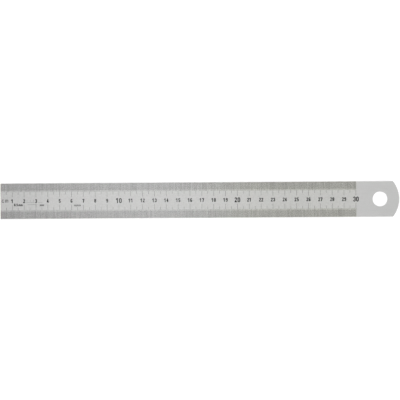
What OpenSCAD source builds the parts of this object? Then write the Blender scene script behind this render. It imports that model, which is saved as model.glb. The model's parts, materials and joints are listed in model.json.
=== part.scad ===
// A 300 mm steel ruler: one thin blade, and a scale of black enamel on its upper face.
// Every mark and numeral is its own thin pad of enamel, bonded to the steel.
// +X runs from the zero end to the hanging hole and +Z is the scale face.
// The origin is the middle of the back face.

/* [Blade] */
// Length from the zero end to the tip of the rounded end
blade_length = 336.5; // [330:0.5:360]
// Width across the two graduated edges
blade_width = 30; // [30:0.5:40]
// Thickness of the sheet
blade_thickness = 1; // [0.5:0.1:2]
// Radius of the shallow arc that ends the blade behind the hole
end_radius = 24; // [21:1:30]
// Width of the broken corner along the edges of both faces
edge_break = 0.15; // [0.05:0.01:0.2]

/* [Hanging hole] */
// Diameter of the hole
hole_diameter = 12.7; // [8:0.1:14]
// Distance from the zero end to the middle of the hole
hole_from_zero = 320.4; // [316:0.1:321]
// Width of the broken corner round both mouths of the hole
hole_break = 0.2; // [0.05:0.01:0.24]

/* [Graduation marks] */
// Length of the scale in centimetres
scale_centimetres = 30; // [10:1:30]
// Width of every mark, measured along the scale
mark_width = 0.19; // [0.1:0.01:0.25]
// Length of a half-millimetre mark, in from the edge
half_millimetre_mark = 6.1; // [3:0.1:6.5]
// Length of a millimetre mark
millimetre_mark = 7.3; // [4:0.1:8]
// Length of a five-millimetre mark
five_millimetre_mark = 9.6; // [6:0.1:10]
// Length of a centimetre mark
centimetre_mark = 11.7; // [8:0.1:12]

/* [Numerals] */
// Height of the numerals that count the centimetres
numeral_height = 3.2; // [2:0.1:3.6]
// Height of the larger numerals 10, 20 and 30
decade_numeral_height = 4.2; // [3:0.1:5]
// Stroke of a numeral as a share of its height
numeral_weight = 0.21; // [0.1:0.01:0.22]
// Stroke of the larger numerals as a share of their height
decade_numeral_weight = 0.2; // [0.1:0.01:0.22]

/* [Enamel] */
// How far the enamel stands above the scale face
enamel_thickness = 0.03; // [0.01:0.01:0.1]

/* [Hidden] */
$fn = 64;
steel_colour = [0.76, 0.76, 0.75];
enamel_colour = [0.13, 0.13, 0.13];

reach = 1; // how far a cutting shape runs past the surface that it cuts
end_sweep = 120; // degrees, well past both corners of the rounded end
zero_x = -blade_length / 2;
edge_y = blade_width / 2;

// Shares of a glyph's height: a digit's width, the gap between glyphs, and a small letter
digit_width = 0.54;
glyph_gap = 0.07;
small_letter_height = 0.72;

// The small legends near the zero end, each placed from that end and from the centre line
unit_symbol_place = [1.15, -1.15];
unit_symbol_height = 3.6;
unit_symbol_weight = 0.12;
step_legend_place = [11.45, -4.25];
step_legend_height = 2.2;
step_legend_weight = 0.24;

// The hairlines by the numerals 2 and 3, placed as the legends are
hairline = 0.15;
level_hairlines = [[21.6, 28.4, -1.4], [31.6, 35.4, -1.4], [22.8, 31, -3.1]]; // from, to, height
upright_hairlines = [22.4, 25.1, 27.7];
upright_hairline_low = -0.4;
upright_hairline_length = 1.4;

// Two rows of short strokes below the centre line, placed as the legends are
trim_rows = [[33.2, 8, -4.3], [62.25, 12, -4.65]]; // start, number of strokes, foot
trim_pitch = 0.47;
trim_stroke = 0.27;
trim_height = 1.5;

EDGES = ["upper", "lower"];
MARK_KINDS = ["half_millimetre", "millimetre", "five_millimetre", "centimetre"];

function marks_node(edge, kind) = str(edge, "_", kind, "_marks");
function numeral_node(number) = str("numeral_", number);

// Marks are counted in half-millimetre steps from the zero end, which itself has none
steps = 20 * scale_centimetres;
function step_x(step) = zero_x + step / 2;
function mark_kind(step) =
    step % 20 == 0 ? "centimetre"
    : step % 10 == 0 ? "five_millimetre"
    : step % 2 == 0 ? "millimetre"
    : "half_millimetre";
function mark_length(kind) =
    kind == "centimetre" ? centimetre_mark
    : kind == "five_millimetre" ? five_millimetre_mark
    : kind == "millimetre" ? millimetre_mark
    : half_millimetre_mark;

// A pad of enamel on the scale face, from its outline
module enamel() {
    color(enamel_colour)
        translate([0, 0, blade_thickness])
            linear_extrude(enamel_thickness)
                children();
}

// Turns one edge of the ruler into the other
module at_edge(edge) {
    if (edge == "upper") children();
    else mirror([0, 1, 0]) children();
}

// An upright slot with round ends, from the height low to the height high
module slot_outline(width, low, high) {
    for (y = [low + width / 2, high - width / 2])
        translate([width / 2, y]) circle(d = width);
    translate([0, low + width / 2]) square([width, high - low - width]);
}

// A closed loop of one stroke, the bowl of a digit
module loop(width, stroke, low, high) {
    difference() {
        slot_outline(width, low, high);
        translate([stroke, 0])
            slot_outline(width - 2 * stroke, low + stroke, high - stroke);
    }
}

// Two upright strokes with a round top, the arch of a small letter
module arch(width, stroke, height) {
    intersection() {
        loop(width, stroke, -width, height);
        square([width, height]);
    }
}

// One digit, standing on the origin
module digit(value, height, stroke) {
    width = digit_width * height;
    mid = height / 2;
    if (value == 0)
        loop(width, stroke, 0, height);
    else if (value == 1) {
        stem = (width - stroke) / 2;
        translate([stem, 0]) square([stroke, height]);
        polygon([
            [stem, height], [stem - stroke, height - 0.9 * stroke], [stem - stroke, height - 1.9 * stroke],
            [stem, height - 1.3 * stroke], [stem + stroke / 2, height - stroke], [stem + stroke / 2, height]
        ]);
    } else if (value == 2) {
        intersection() {
            loop(width, stroke, height - 1.2 * width, height);
            translate([0, height - width / 2]) square([width, width / 2]);
        }
        shoulder = height - width / 2;
        polygon([
            [width, shoulder], [width - stroke / 2, shoulder + stroke / 2], [width - stroke, shoulder],
            [0, stroke / 2], [1.2 * stroke, stroke / 2]
        ]);
        square([width, stroke]);
    } else if (value == 3)
        difference() {
            digit(8, height, stroke);
            translate([-reach, 0.29 * height]) square([reach + 0.45 * width, 0.42 * height]);
        }
    else if (value == 4) {
        stem = width - 1.6 * stroke;
        bar = 0.2 * height;
        translate([stem, 0]) square([stroke, height]);
        translate([0, bar]) square([width, stroke]);
        polygon([
            [stem + stroke / 2, height], [stem, height], [0, bar + stroke], [0, bar + stroke / 2],
            [0.65 * stroke, bar + stroke / 2], [stem + stroke / 2, height - 1.5 * stroke]
        ]);
    } else if (value == 5) {
        translate([0.06 * width, height - stroke]) square([0.88 * width, stroke]);
        translate([0.06 * width, 0.44 * height]) square([0.9 * stroke, 0.56 * height]);
        difference() {
            loop(width, stroke, 0, 0.64 * height);
            translate([-reach, 0.26 * height]) square([reach + 0.45 * width, 0.18 * height]);
            translate([-reach, 0.4 * height]) square([reach + 0.28 * width, 0.3 * height]);
        }
    } else if (value == 6) {
        loop(width, stroke, 0, 0.6 * height);
        difference() {
            loop(width, stroke, 0, height);
            translate([width / 2, 0.3 * height]) square([width, 0.44 * height]);
        }
    } else if (value == 7) {
        translate([0, height - stroke]) square([width, stroke]);
        polygon([
            [width, height - stroke], [width, height - stroke / 2],
            [width - 1.2 * stroke, height - stroke / 2],
            [0.22 * width, 0], [0.22 * width + 1.1 * stroke, 0]
        ]);
    } else if (value == 8) {
        loop(width, stroke, 0, mid + stroke / 2);
        loop(width, stroke, mid - stroke / 2, height);
    } else if (value == 9)
        translate([width, height]) rotate(180) digit(6, height, stroke);
}

// The outline of a whole number, centred on its own centimetre and on the centre line
module numeral_outline(number) {
    is_decade = number % 10 == 0;
    height = is_decade ? decade_numeral_height : numeral_height;
    stroke = height * (is_decade ? decade_numeral_weight : numeral_weight);
    digits = number < 10 ? [number] : [floor(number / 10), number % 10];
    advance = (digit_width + glyph_gap) * height;
    width = len(digits) * advance - glyph_gap * height;
    for (i = [0 : len(digits) - 1])
        translate([step_x(20 * number) - width / 2 + i * advance, -height / 2])
            digit(digits[i], height, stroke);
}

// The small letter m, two arches that share their middle stroke
module letter_m(height, stroke) {
    arch_width = letter_m_width(height, stroke) / 2 + stroke / 2;
    for (x = [0, arch_width - stroke])
        translate([x, 0]) arch(arch_width, stroke, height);
}
function letter_m_width(height, stroke) = 0.8 * height + stroke;

// The small letter c
module letter_c(height, stroke) {
    width = letter_c_width(height);
    mouth = 0.34 * height;
    difference() {
        loop(width, stroke, 0, height);
        translate([width / 2, (height - mouth) / 2]) square([width, mouth]);
    }
}
function letter_c_width(height) = 0.8 * height;

// The unit of the numerals, cm
module unit_symbol_outline() {
    height = small_letter_height * unit_symbol_height;
    stroke = unit_symbol_weight * unit_symbol_height;
    translate([zero_x + unit_symbol_place.x, unit_symbol_place.y]) {
        letter_c(height, stroke);
        translate([letter_c_width(height) + 2 * stroke, 0]) letter_m(height, stroke);
    }
}

// The step of the finest marks, 0.5 mm
module step_legend_outline() {
    height = step_legend_height;
    stroke = step_legend_weight * height;
    gap = glyph_gap * height;
    letter_height = small_letter_height * height;
    letter_stroke = 0.8 * stroke;
    point_x = digit_width * height + gap;
    digit_x = point_x + stroke + gap;
    letter_x = digit_x + digit_width * height + stroke;
    letter_advance = letter_m_width(letter_height, letter_stroke) + gap;
    translate([zero_x + step_legend_place.x, step_legend_place.y]) {
        digit(0, height, stroke);
        translate([point_x, 0]) square(stroke);
        translate([digit_x, 0]) digit(5, height, stroke);
        for (i = [0, 1])
            translate([letter_x + i * letter_advance, 0]) letter_m(letter_height, letter_stroke);
    }
}

module hairline_outlines() {
    for (line = level_hairlines)
        translate([zero_x + line[0], line[2]]) square([line[1] - line[0], hairline]);
    for (x = upright_hairlines)
        translate([zero_x + x, upright_hairline_low]) square([hairline, upright_hairline_length]);
}

module trim_stroke_outlines() {
    for (row = trim_rows, i = [0 : row[1] - 1])
        translate([zero_x + row[0] + trim_pitch * i, row[2]]) square([trim_stroke, trim_height]);
}

// A section of the strip that the blade is cut from, with its corners broken
module strip_section() {
    polygon([
        [-edge_y + edge_break, 0], [edge_y - edge_break, 0],
        [edge_y, edge_break], [edge_y, blade_thickness - edge_break],
        [edge_y - edge_break, blade_thickness], [-edge_y + edge_break, blade_thickness],
        [-edge_y, blade_thickness - edge_break], [-edge_y, edge_break]
    ]);
}

// The shape that cuts the rounded end, leaving its corners broken as well
module end_cutter() {
    broken = end_radius - edge_break;
    outside = 1.5 * end_radius;
    translate([zero_x + blade_length - end_radius, 0, 0])
        rotate(-end_sweep / 2)
            rotate_extrude(angle = end_sweep)
                polygon([
                    [broken, -reach], [broken, 0], [end_radius, edge_break],
                    [end_radius, blade_thickness - edge_break], [broken, blade_thickness],
                    [broken, blade_thickness + reach], [outside, blade_thickness + reach], [outside, -reach]
                ]);
}

// The shape that bores the hanging hole and breaks the corner round each mouth
module hole_cutter() {
    radius = hole_diameter / 2;
    mouth = radius + hole_break + reach;
    translate([zero_x + hole_from_zero, 0, 0])
        rotate_extrude()
            polygon([
                [0, -reach], [mouth, -reach], [radius, hole_break],
                [radius, blade_thickness - hole_break], [mouth, blade_thickness + reach],
                [0, blade_thickness + reach]
            ]);
}

// The steel blade, with its rounded end and its hanging hole
module blade() {
    color(steel_colour)
        difference() {
            translate([zero_x, 0, 0])
                rotate([90, 0, 90]) linear_extrude(blade_length) strip_section();
            end_cutter();
            hole_cutter();
        }
}

// All marks of one kind along one edge, each running out to the edge's broken corner
module marks(edge, kind) {
    length = mark_length(kind) - edge_break;
    at_edge(edge)
        color(enamel_colour)
            for (step = [1 : steps])
                if (mark_kind(step) == kind)
                    translate([step_x(step) - mark_width / 2, edge_y - mark_length(kind), blade_thickness])
                        cube([mark_width, length, enamel_thickness]);
}

module numeral(number) {
    enamel() numeral_outline(number);
}

module unit_symbol() {
    enamel() unit_symbol_outline();
}

module step_legend() {
    enamel() step_legend_outline();
}

module hairlines() {
    enamel() hairline_outlines();
}

module trim_strokes() {
    enamel() trim_stroke_outlines();
}

blade();
for (edge = EDGES, kind = MARK_KINDS)
    marks(edge, kind);
for (number = [1 : scale_centimetres])
    numeral(number);
unit_symbol();
step_legend();
hairlines();
trim_strokes();
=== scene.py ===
"""The looks of a 300 mm steel ruler: a satin blade under a printed scale of black enamel.

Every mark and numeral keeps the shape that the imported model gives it. The blade is modelled
again here, so that its hole, its rounded end and its broken corners are smooth.
"""
import json
import math

import bmesh
import bpy
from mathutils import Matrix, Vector


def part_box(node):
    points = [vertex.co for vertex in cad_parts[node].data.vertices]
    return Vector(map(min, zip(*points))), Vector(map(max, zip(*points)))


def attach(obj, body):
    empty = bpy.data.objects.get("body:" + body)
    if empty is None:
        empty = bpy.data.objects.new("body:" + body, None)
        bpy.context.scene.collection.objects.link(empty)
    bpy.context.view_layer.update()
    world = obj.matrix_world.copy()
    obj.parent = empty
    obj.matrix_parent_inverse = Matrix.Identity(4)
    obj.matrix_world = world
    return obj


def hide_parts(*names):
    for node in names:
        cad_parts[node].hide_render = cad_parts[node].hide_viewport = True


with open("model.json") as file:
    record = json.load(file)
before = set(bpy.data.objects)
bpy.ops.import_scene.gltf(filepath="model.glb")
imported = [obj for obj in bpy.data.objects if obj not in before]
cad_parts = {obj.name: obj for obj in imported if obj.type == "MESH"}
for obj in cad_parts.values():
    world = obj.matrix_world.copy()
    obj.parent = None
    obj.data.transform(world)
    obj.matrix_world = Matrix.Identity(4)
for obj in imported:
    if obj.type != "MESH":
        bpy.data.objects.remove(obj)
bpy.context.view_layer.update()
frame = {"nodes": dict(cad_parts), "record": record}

MM = 0.001
TOUCH = 0.001 * MM            # closer than this, two places are the same
NEAR = 0.02 * MM              # closer than this, a point belongs to an outline or a rim

# The blade
END_RADIUS = 24 * MM          # the shallow arc behind the hole
EDGE_BREAK = 0.15 * MM        # rounding of the corners along both faces
HOLE_BREAK = 0.2 * MM         # rounding of the hole's two mouths
CORNER_ROUND = 0.25 * MM      # rounding of the outline's four upright corners
END_SIDES = 240               # sides of the full circle that the rounded end is cut from
HOLE_SIDES = 128
BREAK_SEGMENTS = 3
SMOOTH_BELOW = math.radians(10)  # softer than this the wall of a hole, harder a broken corner

# The finishes
STEEL_LEVEL = 0.5             # how bright the bare steel is, from 0 to 1
STEEL_ROUGHNESS = 0.42
ENAMEL_ROUGHNESS = 0.22
CHIP_LEVEL = STEEL_LEVEL - 0.1   # the dull steel that shows through a chip
MARK_ENAMEL = {"gloss": 1.65, "wear": 0.12}
NUMERAL_ENAMEL = {"gloss": 1.4, "wear": 0.05}

# The studio
FRAME_WIDTH = 337.6 * MM      # what the picture spans from left to right
LENS = 135.0
SENSOR = 36.0
CAMERA_TURN = math.radians(-0.37)
CAMERA_AIM = (0.18 * MM, 0.05 * MM)
FLOOR_SIZE = 6.0
FLOOR_GAP = 0.02 * MM         # keeps the floor clear of the blade's flat back
FLOOR_WHITE = (0.92, 0.92, 0.92)
WALL_LIGHT = 0.55
CEILING_LIGHT = 0.74
TABLE_GLOW = 0.12
LIGHT_DISTANCE = 1.6
OVERHEAD_LIGHT = {"size": 0.2, "power": 1.05}
SIDE_LIGHT = {"size": 0.9, "power": 4.75}

BLADE_LOW, BLADE_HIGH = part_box("blade")
ZERO_X = BLADE_LOW.x
TIP_X = -BLADE_LOW.x
HALF_WIDTH = BLADE_HIGH.y
THICKNESS = BLADE_HIGH.z
SCALE_END_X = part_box("upper_centimetre_marks")[1].x
MOUNTS = {mount["name"]: mount for mount in frame["record"]["mounts"]}
HOLE_X = MOUNTS["hanging_hole"]["pos_m"][0]
HOLE_RADIUS = MOUNTS["hanging_hole"]["dims"]["r_mm"] * MM


# ---------------------------------------------------------------- modelling helpers

def only(obj):
    """Makes obj the one selected and active object."""
    bpy.ops.object.select_all(action="DESELECT")
    obj.select_set(True)
    bpy.context.view_layer.objects.active = obj
    return obj


def edit(obj):
    """Opens obj in edit mode with nothing in it selected."""
    only(obj)
    bpy.ops.object.mode_set(mode="EDIT")
    bpy.ops.mesh.select_mode(type="EDGE")
    bpy.ops.mesh.select_all(action="DESELECT")


def done():
    bpy.ops.object.mode_set(mode="OBJECT")


def pick(obj, kind, test):
    """Selects just the edges or faces of the open mesh whose middle passes the test."""
    mesh = bmesh.from_edit_mesh(obj.data)
    bpy.ops.mesh.select_all(action="DESELECT")
    for item in getattr(mesh, kind):
        corners = [vert.co for vert in item.verts]
        middle = sum(corners[1:], corners[0].copy()) / len(corners)
        if test(middle, corners):
            item.select_set(True)
    mesh.select_flush_mode()
    bmesh.update_edit_mesh(obj.data)


def take_away(obj, cutter):
    """Cuts one shape out of another and removes the cutter."""
    cut = obj.modifiers.new("cut", "BOOLEAN")
    cut.operation = "DIFFERENCE"
    cut.solver = "EXACT"
    cut.object = cutter
    only(obj)
    bpy.ops.object.modifier_apply(modifier=cut.name)
    bpy.data.objects.remove(cutter)


# ---------------------------------------------------------------- the blade

def blade_blank():
    """The plain outline: a disc trimmed to the rounded end, then drawn out to the zero end."""
    disc_x = TIP_X - END_RADIUS
    bpy.ops.object.select_all(action="DESELECT")
    bpy.ops.mesh.primitive_cylinder_add(
        vertices=END_SIDES, radius=END_RADIUS, depth=THICKNESS,
        location=(disc_x, 0, THICKNESS / 2))
    blank = bpy.context.object
    blank.name = "steel_blade"
    bpy.ops.object.transform_apply(location=True, rotation=True, scale=True)
    edit(blank)
    for place, outward in (
            ((0, HALF_WIDTH, 0), (0, 1, 0)),
            ((0, -HALF_WIDTH, 0), (0, -1, 0)),
            ((disc_x, 0, 0), (-1, 0, 0))):
        bpy.ops.mesh.select_all(action="SELECT")
        bpy.ops.mesh.bisect(plane_co=place, plane_no=outward, use_fill=True, clear_outer=True)
    bpy.ops.mesh.select_mode(type="FACE")
    pick(blank, "faces", lambda middle, corners: all(abs(c.x - disc_x) < TOUCH for c in corners))
    bpy.ops.mesh.extrude_region_move(TRANSFORM_OT_translate={"value": (ZERO_X - disc_x, 0, 0)})
    bpy.ops.mesh.select_all(action="SELECT")
    bpy.ops.mesh.remove_doubles(threshold=1e-7)
    bpy.ops.mesh.dissolve_limited(angle_limit=math.radians(0.1))
    done()
    return blank


def hole_cutter():
    bpy.ops.object.select_all(action="DESELECT")
    bpy.ops.mesh.primitive_cylinder_add(
        vertices=HOLE_SIDES, radius=HOLE_RADIUS, depth=3 * THICKNESS,
        location=(HOLE_X, 0, THICKNESS / 2))
    bpy.ops.object.transform_apply(location=True, rotation=True, scale=True)
    return bpy.context.object


def break_edges(blade):
    """Rounds the outline's upright corners, then the rims of both faces and of the hole."""
    corner_x = TIP_X - END_RADIUS + math.sqrt(END_RADIUS ** 2 - HALF_WIDTH ** 2)

    def is_corner(middle, corners):
        upright = abs(corners[0].z - corners[-1].z) > THICKNESS / 2
        at_end = min(abs(middle.x - ZERO_X), abs(middle.x - corner_x)) < NEAR
        return upright and at_end and abs(abs(middle.y) - HALF_WIDTH) < NEAR

    def is_rim(edge, wanted_at_hole):
        corners = [vert.co for vert in edge.verts]
        level = all(min(abs(c.z), abs(c.z - THICKNESS)) < TOUCH for c in corners)
        from_hole = [abs(math.hypot(c.x - HOLE_X, c.y) - HOLE_RADIUS) for c in corners]
        at_hole = all(gap < NEAR for gap in from_hole)
        # A rim has one flat face and one wall; an edge across a face has two flat ones
        flat_faces = sum(abs(face.normal.z) > 0.5 for face in edge.link_faces)
        return level and at_hole == wanted_at_hole and flat_faces == 1

    edit(blade)
    pick(blade, "edges", is_corner)
    bpy.ops.mesh.bevel(offset=CORNER_ROUND, segments=BREAK_SEGMENTS, affect="EDGES")
    for at_hole, width in ((True, HOLE_BREAK), (False, EDGE_BREAK)):
        mesh = bmesh.from_edit_mesh(blade.data)
        bpy.ops.mesh.select_all(action="DESELECT")
        for edge in mesh.edges:
            if is_rim(edge, at_hole):
                edge.select_set(True)
        mesh.select_flush_mode()
        bmesh.update_edit_mesh(blade.data)
        bpy.ops.mesh.bevel(offset=width, segments=BREAK_SEGMENTS, affect="EDGES")
    bpy.ops.mesh.select_all(action="SELECT")
    bpy.ops.mesh.normals_make_consistent(inside=False)
    done()


def make_blade():
    blade = blade_blank()
    take_away(blade, hole_cutter())
    break_edges(blade)
    only(blade)
    bpy.ops.object.shade_smooth_by_angle(angle=SMOOTH_BELOW)
    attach(blade, "root")
    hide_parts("blade")
    return blade


# ---------------------------------------------------------------- shader helpers

class Value:
    """A number that varies over a surface. Arithmetic on it adds Math nodes."""

    def __init__(self, paint, socket):
        self.paint = paint
        self.socket = socket

    def math(self, operation, *others):
        node = self.paint.node("ShaderNodeMath", {"operation": operation}, self, *others)
        return Value(self.paint, node.outputs[0])

    def __add__(self, other):
        return self.math("ADD", other)

    __radd__ = __add__

    def __mul__(self, other):
        return self.math("MULTIPLY", other)

    __rmul__ = __mul__

    def __sub__(self, other):
        return self.math("SUBTRACT", other)

    def __rsub__(self, other):
        return self.paint.number("ShaderNodeMath", {"operation": "SUBTRACT"}, other, self)

    def __truediv__(self, other):
        return self.math("DIVIDE", other)

    def __abs__(self):
        return self.math("ABSOLUTE")

    def over(self, low, high):
        """0 below low, 1 above high, and a smooth step between them."""
        smooth = {"interpolation_type": "SMOOTHSTEP"}
        return self.paint.number("ShaderNodeMapRange", smooth, self, low, high)


class Paint:
    """One material, with its coordinates in millimetres on the object."""

    def __init__(self, name, **constants):
        self.material = bpy.data.materials.new(name)
        self.material.use_nodes = True
        self.tree = self.material.node_tree
        self.shader = self.tree.nodes["Principled BSDF"]
        for socket, value in constants.items():
            self.shader.inputs[socket.replace("_", " ")].default_value = value
        coordinates = self.tree.nodes.new("ShaderNodeTexCoord").outputs["Object"]
        self.place = coordinates
        self.place = self.stretched(1 / MM, 1 / MM, 1 / MM)
        self.x, self.y, self.z = self.axes()

    def node(self, kind, settings, *inputs, **named):
        """Adds a node: its settings first, then its sockets, each a number, a colour or a link."""
        node = self.tree.nodes.new(kind)
        for setting, value in settings.items():
            setattr(node, setting, value)
        for key, value in [*enumerate(inputs), *named.items()]:
            socket = node.inputs[key.replace("_", " ") if isinstance(key, str) else key]
            if isinstance(value, Value):
                self.tree.links.new(value.socket, socket)
            elif isinstance(value, bpy.types.NodeSocket):
                self.tree.links.new(value, socket)
            else:
                socket.default_value = value
        return node

    def number(self, kind, settings, *inputs, **named):
        return Value(self, self.node(kind, settings, *inputs, **named).outputs[0])

    def axes(self):
        split = self.node("ShaderNodeSeparateXYZ", {}, self.place)
        return [Value(self, output) for output in split.outputs]

    def stretched(self, x, y, z, turn=0.0):
        """The coordinates scaled along each axis, after a turn about Z."""
        mapping = self.node("ShaderNodeMapping", {"vector_type": "TEXTURE"},
                            self.place, Rotation=(0, 0, turn))
        scaled = self.node("ShaderNodeVectorMath", {"operation": "MULTIPLY"}, mapping.outputs[0], (x, y, z))
        return scaled.outputs[0]

    def noise(self, scale, detail=2.0, roughness=0.5, stretch=(1, 1, 1)):
        """Soft noise round 0, from about -0.5 to 0.5, with scale waves in a millimetre."""
        texture = self.node("ShaderNodeTexNoise", {}, Vector=self.stretched(*stretch),
                            Scale=scale, Detail=detail, Roughness=roughness)
        return Value(self, texture.outputs[0]) - 0.5

    def grey(self, level, tint=(1.0, 1.0, 1.0)):
        """A colour of one tint whose brightness is a number that varies."""
        colour = self.node("ShaderNodeCombineColor", {}, level * tint[0], level * tint[1], level * tint[2])
        return colour.outputs[0]

    def feed(self, socket, value):
        self.tree.links.new(value.socket if isinstance(value, Value) else value, self.shader.inputs[socket])

    def bump(self, height, distance):
        """Feeds a relief to the shader, where distance is what a height of 1 stands for."""
        node = self.node("ShaderNodeBump", {}, Strength=1.0, Distance=distance, Height=height)
        self.feed("Normal", node.outputs[0])


# ---------------------------------------------------------------- finishes

def scratches(paint, turn, spacing):
    """Short fine scratches in one direction, as a mask from 0 to 1."""
    place = paint.stretched(0.02, 1.0, 1.0, turn=turn)
    distance = paint.number("ShaderNodeTexVoronoi", {"voronoi_dimensions": "2D"},
                            Vector=place, Scale=1 / spacing)
    return 1 - distance.over(0.003, 0.012)


def satin_steel():
    """Rolled stainless sheet with a matt satin finish and a fine grain along its length."""
    steel = Paint("satin_steel", Metallic=1.0)
    cloud = steel.noise(0.03, detail=2.0)
    mottle = steel.noise(0.8, detail=3.0, roughness=0.6)
    grain = steel.noise(7.0, detail=4.0, roughness=0.65, stretch=(0.015, 1, 1))
    long_grain = steel.noise(1.3, detail=2.0, stretch=(0.01, 1, 1))
    speckle = steel.noise(8.0, detail=2.0)
    scratch = scratches(steel, 0.15, 1.7) + scratches(steel, -0.6, 2.6)

    # Under the scale the steel is less smooth than at the bare end, on its walls and on its back
    bare_end = steel.x.over(SCALE_END_X / MM, SCALE_END_X / MM + 1)
    scale_face = steel.z.over(0.7 * THICKNESS / MM, 0.9 * THICKNESS / MM) * (1 - bare_end)
    uneven = 0.18 * mottle * (0.2 + 0.8 * scale_face)
    from_edge = HALF_WIDTH / MM - abs(steel.y)
    worn_edge = 1 - from_edge.over(0.05, 0.5)
    # Painted shade darkens the steel towards the zero end, and painted light brightens it towards the hole
    zero_end_painted_shade = 1 - steel.x.over(-170, -110)
    hole_end_painted_light = steel.x.over(60, 150)
    straw = steel.x.over(-30, 60) * scale_face
    # On the scale face, within 7 mm of each long edge, the steel's brightness varies in uneven streaks
    # across the blade, a little darker on average, and it is a little less blue where it is tinted straw
    mark_band_tone = (1 - from_edge.over(7, 7.6)) * scale_face
    band_streaks = steel.noise(0.9, detail=2.0, roughness=0.6, stretch=(1, 0.04, 1))

    # The level carries that painted shade at the zero end and that painted light towards the hole
    level = STEEL_LEVEL + 0.03 * hole_end_painted_light - 0.03 * zero_end_painted_shade - mark_band_tone * (0.004 + 0.3 * band_streaks)
    fine = 0.03 * cloud + uneven + 0.14 * grain + 0.04 * long_grain + 0.04 * speckle
    shade = level + fine + 0.08 * worn_edge + 0.08 * scratch
    blue = 0.99 - straw * (0.018 + 0.05 * mark_band_tone)
    steel.feed("Base Color", steel.grey(shade, tint=(1.0, 1.0, blue)))
    smoother = 0.12 * worn_edge + 0.1 * scratch
    steel.feed("Roughness", STEEL_ROUGHNESS + 0.06 * cloud + 0.12 * grain - smoother)
    steel.bump(0.8 * grain + 0.3 * speckle - 0.6 * scratch, distance=0.0025 * MM)
    return steel.material


def black_enamel(name, gloss, wear):
    """Baked black enamel that catches a highlight. It has chipped, on some marks more than others."""
    enamel = Paint(name, IOR=gloss)
    wiped = enamel.noise(0.25, detail=2.0)
    grain = enamel.noise(6.0, detail=2.0)
    worn = enamel.noise(0.5, detail=2.0, stretch=(1, 0.02, 1)).over(-0.02, 0.28)
    chips = (enamel.noise(5.0, detail=4.0, roughness=0.6) + wear * worn).over(0.2, 0.24)
    thin = wear * 0.25 * worn

    dense = 0.01 + 0.01 * wiped + 0.012 * grain + thin
    enamel.feed("Base Color", enamel.grey(dense + chips * CHIP_LEVEL, tint=(1.0, 0.99, 0.93)))
    enamel.feed("Metallic", chips)
    rougher_chips = (STEEL_ROUGHNESS - ENAMEL_ROUGHNESS) * chips
    enamel.feed("Roughness", ENAMEL_ROUGHNESS + 0.1 * wiped + 0.06 * grain + rougher_chips)
    enamel.bump(0.3 * grain - chips, distance=0.008 * MM)
    return enamel.material


def finish_with(obj, material):
    obj.data.materials.clear()
    obj.data.materials.append(material)


# ---------------------------------------------------------------- studio

def make_camera():
    """A long lens straight above the ruler, turned by the ruler's slight slope."""
    data = bpy.data.cameras.new("camera")
    data.lens = LENS
    data.sensor_width = SENSOR
    camera = bpy.data.objects.new("camera", data)
    height = THICKNESS + FRAME_WIDTH * LENS / SENSOR
    camera.location = (*CAMERA_AIM, height)
    camera.rotation_euler = (0, 0, CAMERA_TURN)
    bpy.context.scene.collection.objects.link(camera)
    bpy.context.scene.camera = camera


def make_floor():
    """A light table, whose own glow fills the shadows beside the blade."""
    bpy.ops.object.select_all(action="DESELECT")
    bpy.ops.mesh.primitive_plane_add(size=FLOOR_SIZE, location=(0, 0, -FLOOR_GAP))
    floor = bpy.context.object
    floor.name = "floor"
    bpy.ops.object.transform_apply(location=True, rotation=True, scale=True)
    white = Paint("floor_white", Base_Color=(*FLOOR_WHITE, 1), Roughness=0.8,
                  Emission_Color=(1, 1, 1, 1), Emission_Strength=TABLE_GLOW)
    finish_with(floor, white.material)


def soft_light(name, direction, size, power):
    """A square soft box that faces the middle of the ruler."""
    data = bpy.data.lights.new(name, "AREA")
    data.size = size
    data.energy = power
    light = bpy.data.objects.new(name, data)
    light.location = Vector(direction).normalized() * LIGHT_DISTANCE
    light.rotation_mode = "QUATERNION"
    light.rotation_quaternion = (-light.location).to_track_quat("-Z", "Y")
    bpy.context.scene.collection.objects.link(light)


def make_world():
    """A pale studio that is brightest overhead and dims down its walls."""
    world = bpy.data.worlds.new("studio")
    bpy.context.scene.world = world
    world.use_nodes = True
    nodes = world.node_tree.nodes
    links = world.node_tree.links
    direction = nodes.new("ShaderNodeTexCoord").outputs["Generated"]
    split = nodes.new("ShaderNodeSeparateXYZ")
    height = nodes.new("ShaderNodeMapRange")
    height.inputs["To Min"].default_value = WALL_LIGHT
    height.inputs["To Max"].default_value = CEILING_LIGHT
    links.new(direction, split.inputs[0])
    links.new(split.outputs["Z"], height.inputs[0])
    links.new(height.outputs[0], nodes["Background"].inputs["Strength"])
    nodes["Background"].inputs["Color"].default_value = (1, 1, 1, 1)


make_camera()
blade = make_blade()
finish_with(blade, satin_steel())
mark_enamel = black_enamel("mark_enamel", **MARK_ENAMEL)
numeral_enamel = black_enamel("numeral_enamel", **NUMERAL_ENAMEL)
for name, node in frame["nodes"].items():
    if name != "blade":
        finish_with(node, mark_enamel if name.endswith("_marks") else numeral_enamel)
make_floor()
make_world()
soft_light("overhead", (-0.06, 0, 1), **OVERHEAD_LIGHT)
for x in (-0.75, 0.75):
    for y in (-0.9, 0.9):
        soft_light("side_box", (x, y, 1), **SIDE_LIGHT)
bpy.context.scene.view_settings.view_transform = "Standard"
